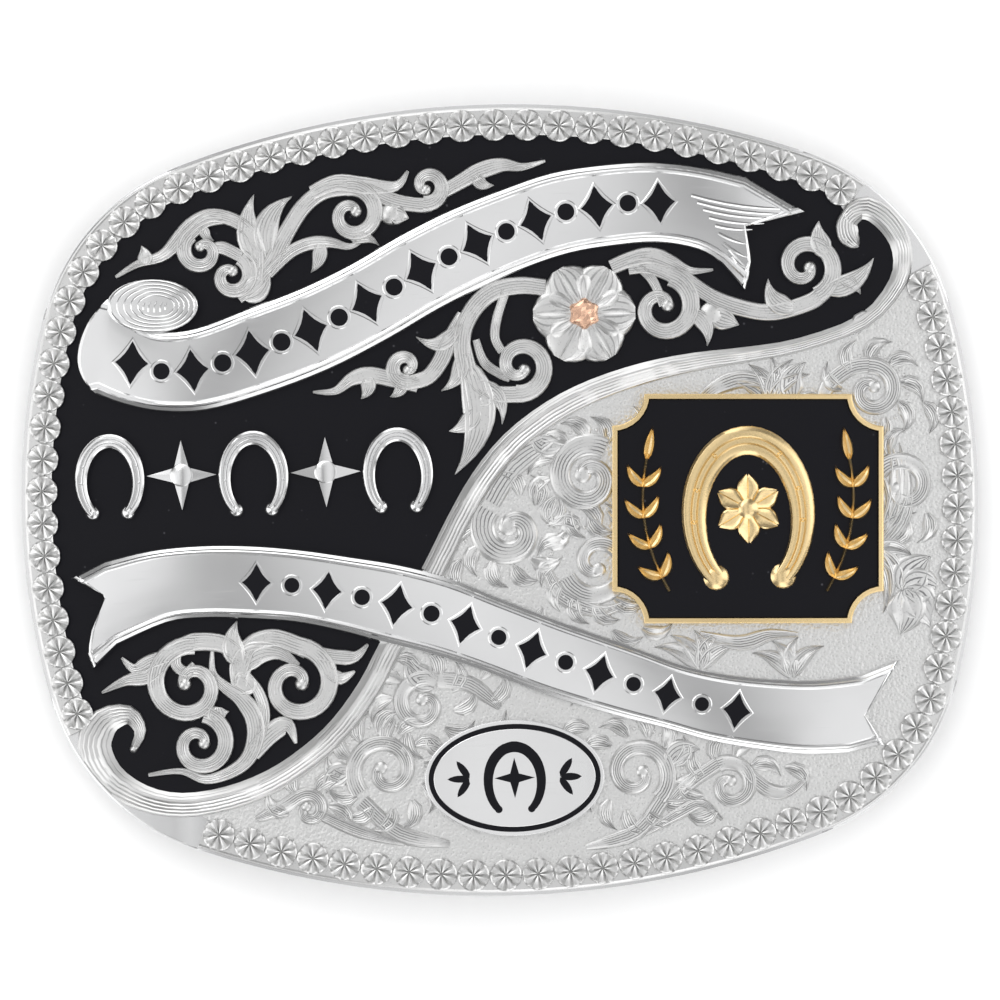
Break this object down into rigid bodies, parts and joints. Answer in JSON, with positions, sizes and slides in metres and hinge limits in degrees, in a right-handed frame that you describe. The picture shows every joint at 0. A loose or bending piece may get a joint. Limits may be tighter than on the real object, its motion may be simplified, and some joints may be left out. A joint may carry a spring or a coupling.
{
  "type": "belt buckle",
  "caption": "Curved oval trophy belt buckle with a star-cut edge, ribbons, sawn scrollwork over black enamel, an engraved panel with a gold plaque, and a wire strap loop and hook post behind.",
  "frame": {"origin": "on the surface that the buckle lies on, under the middle of its outline", "axes": "+X along the belt to the right as the face is seen, +Y up the face, +Z out of the face"},
  "size_m": [0.108, 0.0888, 0.0155],
  "materials": {
    "polished_silver": "polished nickel silver",
    "engraved_silver": "bright-cut and frosted nickel silver",
    "black_enamel": "satin black enamel",
    "gold": "polished gold plate",
    "rose_gold": "engraved rose gold plate",
    "nickel_wire": "nickel plated wire"
  },
  "bodies": {
    "root": {"base_plate": "polished_silver", "star_cut_edge_upper": "polished_silver", "star_cut_edge_lower": "polished_silver", "black_field": "black_enamel", "engraved_panel": "engraved_silver", "dividing_band_upper": "polished_silver", "dividing_band_lower": "polished_silver", "upper_ribbon": "polished_silver", "upper_ribbon_enamel": "black_enamel", "lower_ribbon": "polished_silver", "lower_ribbon_enamel": "black_enamel", "scroll_top": "engraved_silver", "scroll_centre_left": "engraved_silver", "scroll_centre_right": "engraved_silver", "scroll_lower": "engraved_silver", "blossom": "engraved_silver", "blossom_centre": "rose_gold", "raised_motif_1": "polished_silver", "raised_motif_2": "polished_silver", "raised_motif_3": "polished_silver", "raised_motif_4": "polished_silver", "raised_motif_5": "polished_silver", "emblem_plaque": "gold", "emblem_enamel": "black_enamel", "emblem_motif": "gold", "oval_plaque": "polished_silver", "oval_line": "black_enamel", "oval_motif": "black_enamel", "belt_loop": "nickel_wire", "hook_post": "nickel_wire"}
  },
  "joints": []
}
